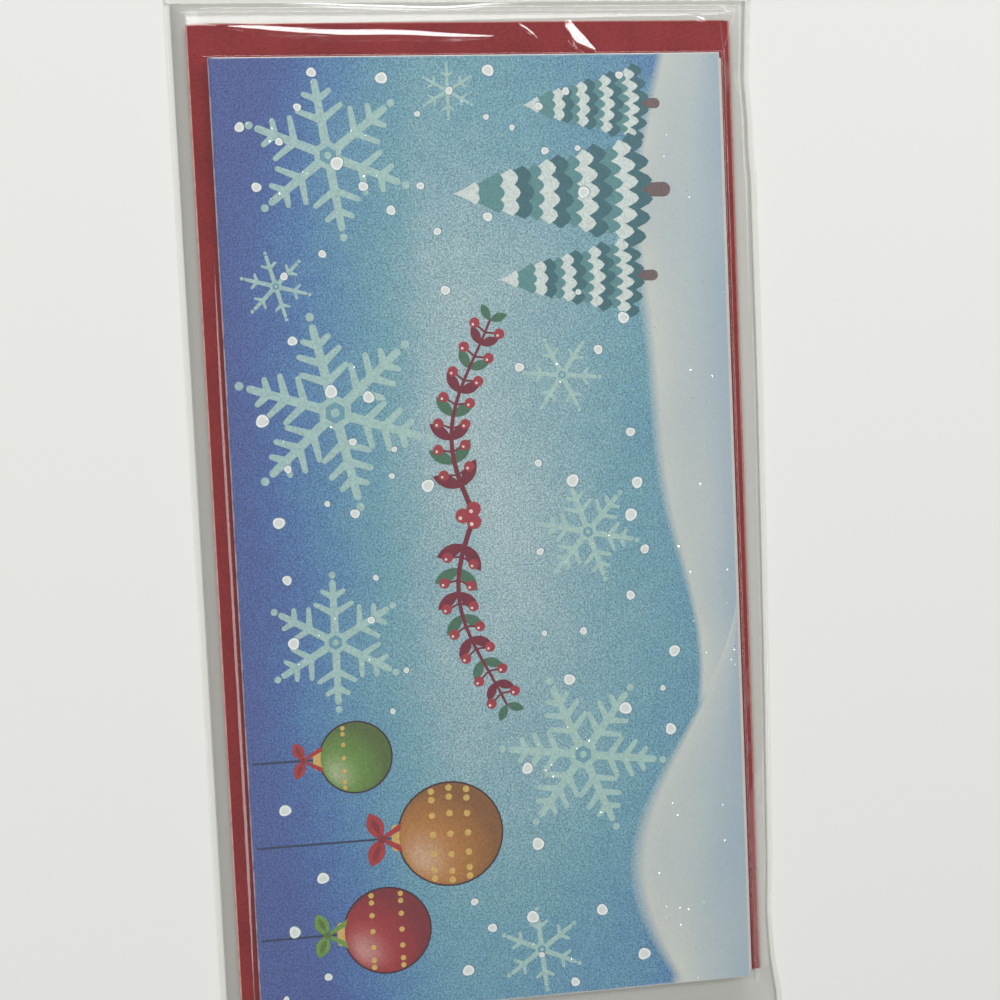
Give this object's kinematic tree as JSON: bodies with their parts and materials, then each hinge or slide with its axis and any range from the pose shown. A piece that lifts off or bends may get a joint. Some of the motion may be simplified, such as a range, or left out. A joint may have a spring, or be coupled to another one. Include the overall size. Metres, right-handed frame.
{
  "type": "gift card holder",
  "caption": "Folded paper gift card holder with an inner pocket, lying on its envelope in a clear film sleeve.",
  "frame": {"origin": "on the outside of the sleeve's back film, under the middle of the closed card", "axes": "+X along the card as it is read, from its left end to its right end; +Y from the free edge to the fold; +Z out of the printed front"},
  "size_m": [0.222, 0.103, 0.0032],
  "materials": {
    "printed_card": "satin",
    "white_card": "matte",
    "red_paper": "matte",
    "dried_glue": "satin",
    "gum": "glossy",
    "clear_film": "glossy",
    "adhesive": "glossy"
  },
  "bodies": {
    "envelope": {"envelope_face": "red_paper", "envelope_back": "red_paper", "envelope_back_fold": "red_paper", "envelope_left_flap": "red_paper", "envelope_right_flap": "red_paper", "envelope_left_fold": "red_paper", "envelope_right_fold": "red_paper", "envelope_seam_glue": "dried_glue"},
    "seal_flap": {"seal_flap": "red_paper", "seal_flap_fold": "red_paper", "seal_gum": "gum"},
    "card": {"back_panel": "white_card", "top_fold": "printed_card", "pocket_fold": "white_card", "pocket_panel": "white_card", "pocket_gusset_left": "white_card", "pocket_gusset_right": "white_card", "gusset_glue": "dried_glue"},
    "cover": {"cover_panel": "printed_card"},
    "sleeve": {"sleeve_front_film": "clear_film", "sleeve_back_film": "clear_film", "sleeve_top_seal": "clear_film", "sleeve_bottom_seal": "clear_film", "sleeve_end_fold": "clear_film", "sleeve_lip_fold": "clear_film"},
    "lip": {"sleeve_lip": "clear_film", "adhesive_strip": "adhesive"}
  },
  "joints": [
    {"name": "cover_hinge", "type": "hinge", "parent": "card", "child": "cover", "pos_m": [0, 0.04353, 0.00206], "axis": [-1, 0, 0], "range_deg": [0, 180], "deforming": ["top_fold", "sleeve_front_film"]},
    {"name": "seal_flap_hinge", "type": "hinge", "parent": "envelope", "child": "seal_flap", "pos_m": [0, -0.0468, 0.00057], "axis": [-1, 0, 0], "range_deg": [0, 180], "deforming": ["seal_flap_fold", "sleeve_back_film", "sleeve_bottom_seal"]},
    {"name": "card_slide", "type": "slide", "parent": "envelope", "child": "card", "axis": [1, 0, 0], "range_m": [0, 0.2]},
    {"name": "sleeve_slide", "type": "slide", "parent": "envelope", "child": "sleeve", "axis": [-1, 0, 0], "range_m": [0, 0.2]},
    {"name": "lip_hinge", "type": "hinge", "parent": "sleeve", "child": "lip", "pos_m": [0.0962, 0, 0.00172], "axis": [0, -1, 0], "range_deg": [0, 180], "deforming": ["sleeve_lip_fold"]}
  ]
}
